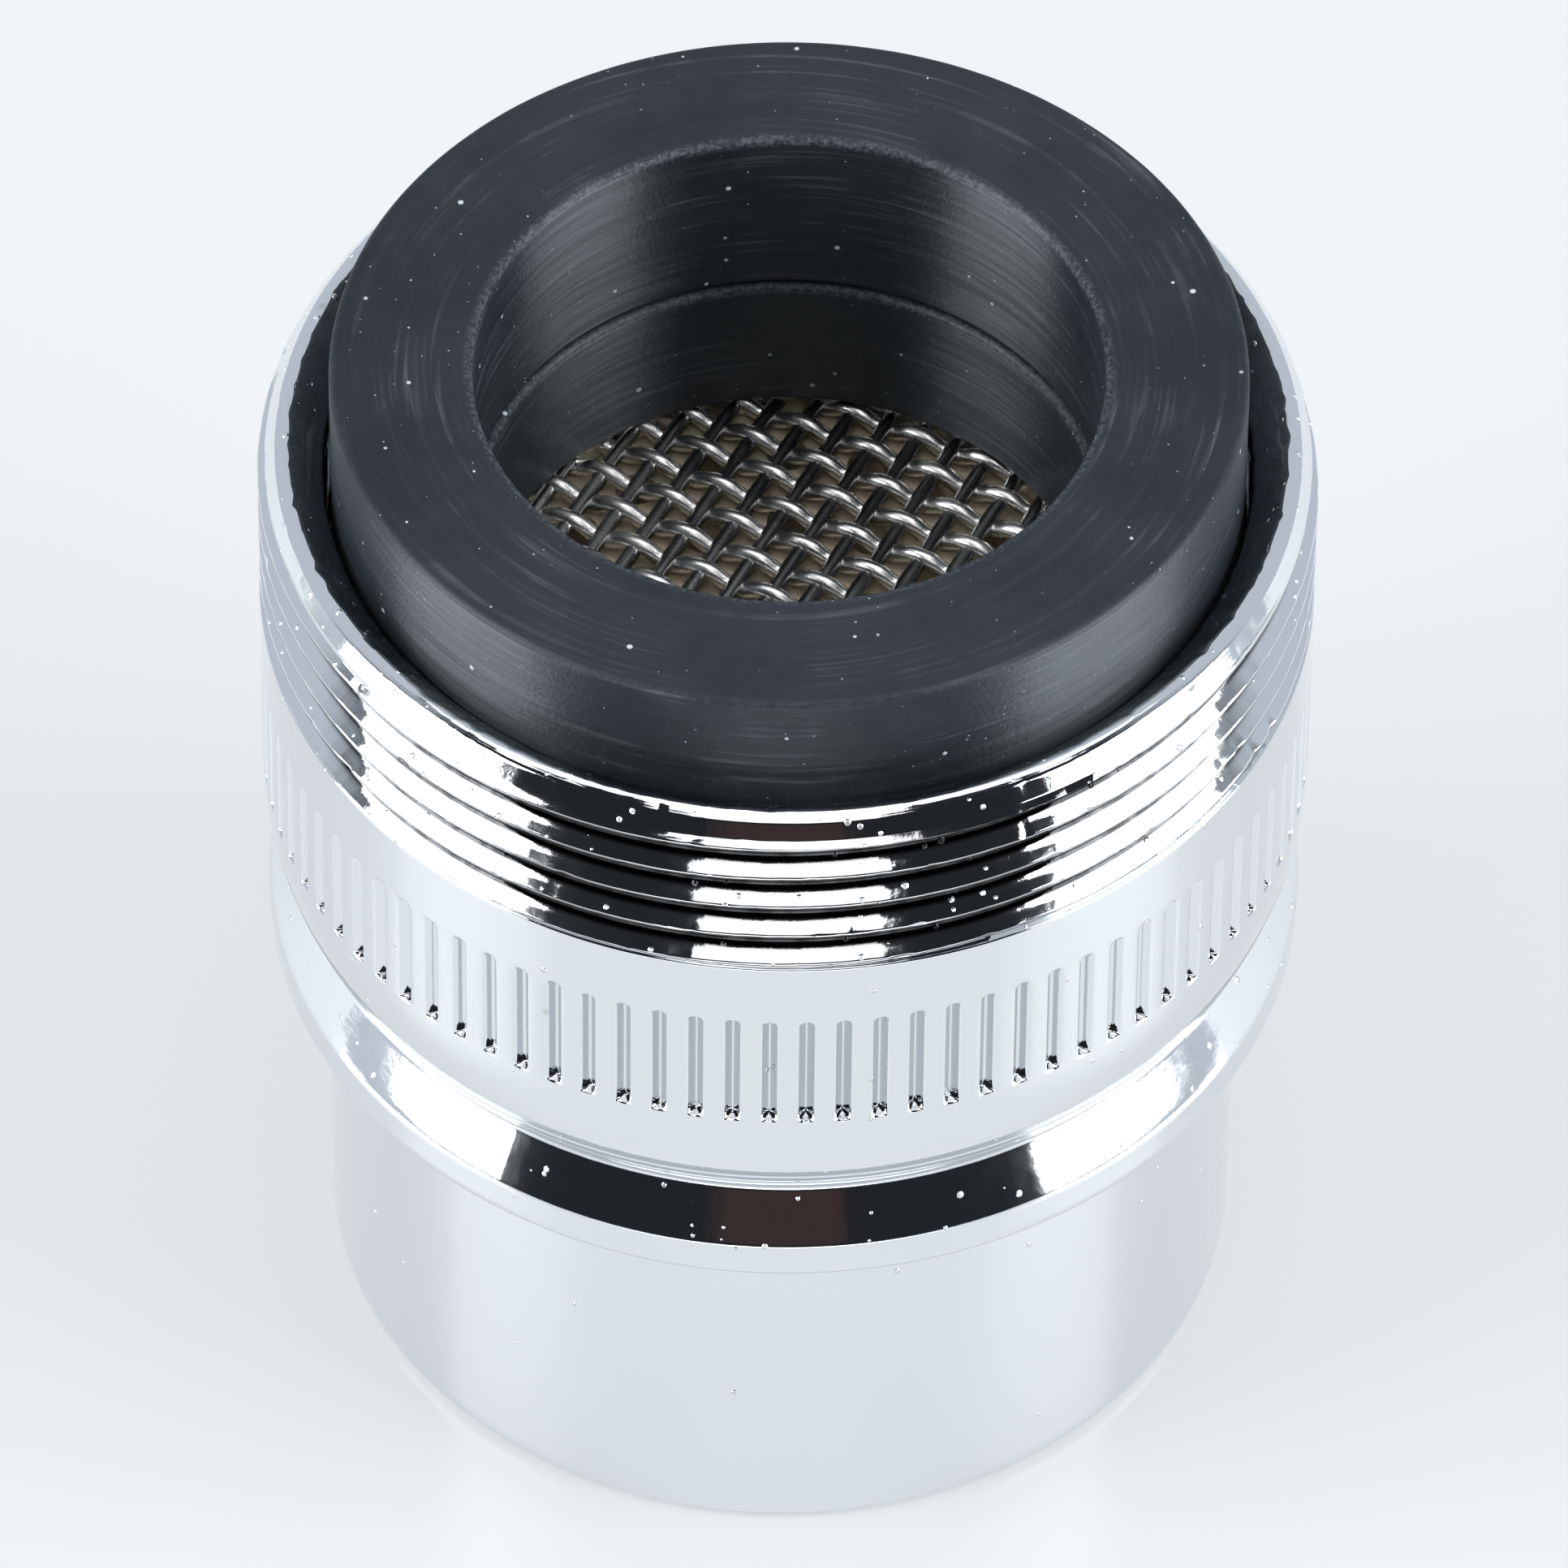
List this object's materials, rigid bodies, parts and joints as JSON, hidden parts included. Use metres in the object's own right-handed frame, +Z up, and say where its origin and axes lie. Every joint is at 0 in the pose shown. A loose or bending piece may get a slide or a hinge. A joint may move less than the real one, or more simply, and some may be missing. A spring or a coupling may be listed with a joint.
{
  "type": "faucet adapter",
  "caption": "Chromed dual-thread faucet adapter with a fluted collar, rubber washers, a woven inlet screen and an aerator insert.",
  "frame": {"origin": "centre of the foot, at the lowest point of the housing", "axes": "+Z up the axis towards the inlet, -Y towards the camera of the picture"},
  "size_m": [0.0238, 0.0238, 0.0275],
  "materials": {
    "chrome_shell": "polished plating over brass",
    "washer_rubber": "matt, slightly dusty",
    "inlet_wire": "bright drawn wire",
    "fine_wire": "dull fine wire",
    "cream_plastic": "moulded, satin"
  },
  "bodies": {
    "root": {"housing": "chrome_shell", "thick_washer": "washer_rubber", "lower_washer": "washer_rubber", "inlet_screen": "inlet_wire", "jet_disc": "cream_plastic", "insert_sleeve": "cream_plastic", "mixing_screen_upper": "fine_wire", "spacer_ring_upper": "cream_plastic", "mixing_screen_lower": "fine_wire", "spacer_ring_lower": "cream_plastic", "outlet_screen": "fine_wire"}
  },
  "joints": []
}
